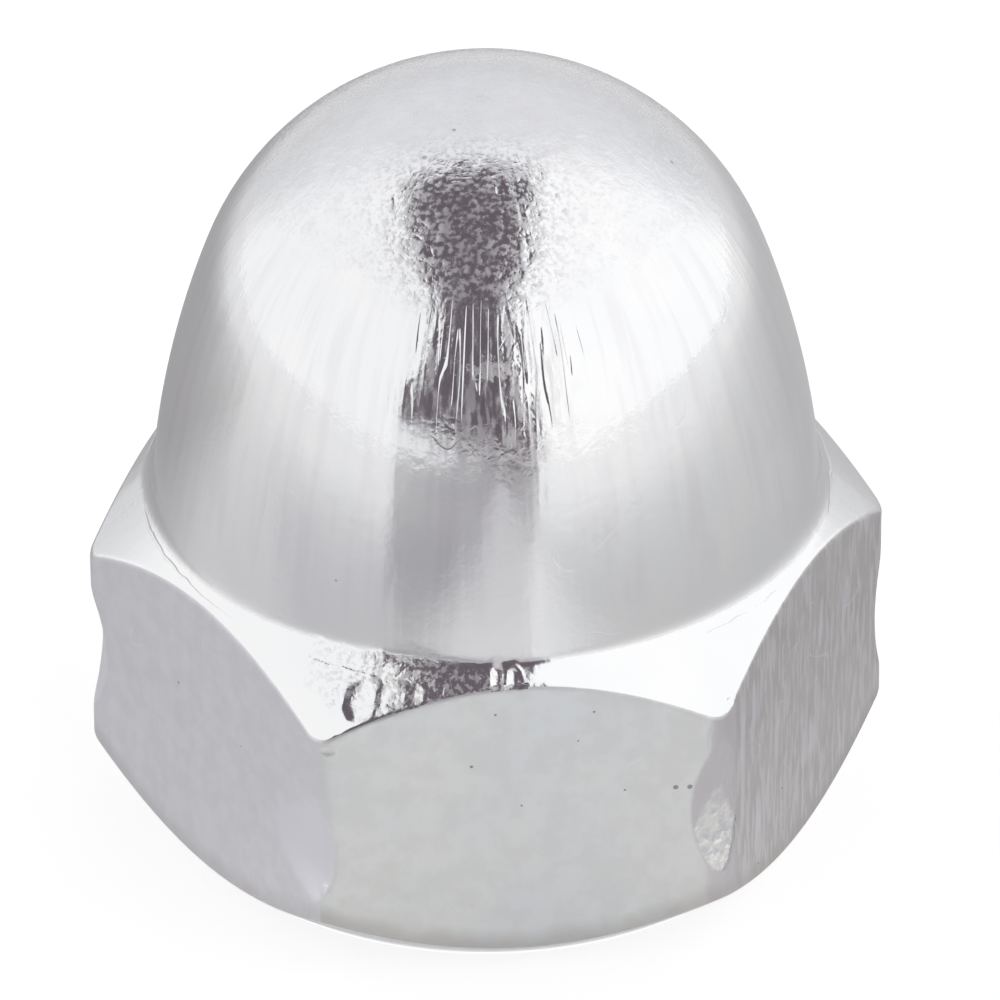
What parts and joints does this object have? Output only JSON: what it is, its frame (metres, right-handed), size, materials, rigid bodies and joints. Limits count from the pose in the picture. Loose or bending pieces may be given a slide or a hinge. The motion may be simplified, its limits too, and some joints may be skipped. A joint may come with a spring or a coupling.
{
  "type": "cap nut",
  "caption": "Hexagon nut closed by a high round dome, with a blind right-hand threaded hole from the flat bearing face; it covers and protects a bolt's end.",
  "frame": {"origin": "centre of the flat bearing face, on the thread axis", "axes": "+Z along the thread axis, from the bearing face to the top of the dome; two flats face -Y and +Y; two corners point along -X and +X"},
  "size_m": [0.0148, 0.013, 0.015],
  "materials": {
    "zinc_plated_steel": "bright zinc plating over cold-formed steel, glossy but uneven, with fine drawing lines, small pits and nicks"
  },
  "bodies": {
    "root": {"cap_nut": "zinc_plated_steel"}
  },
  "joints": []
}
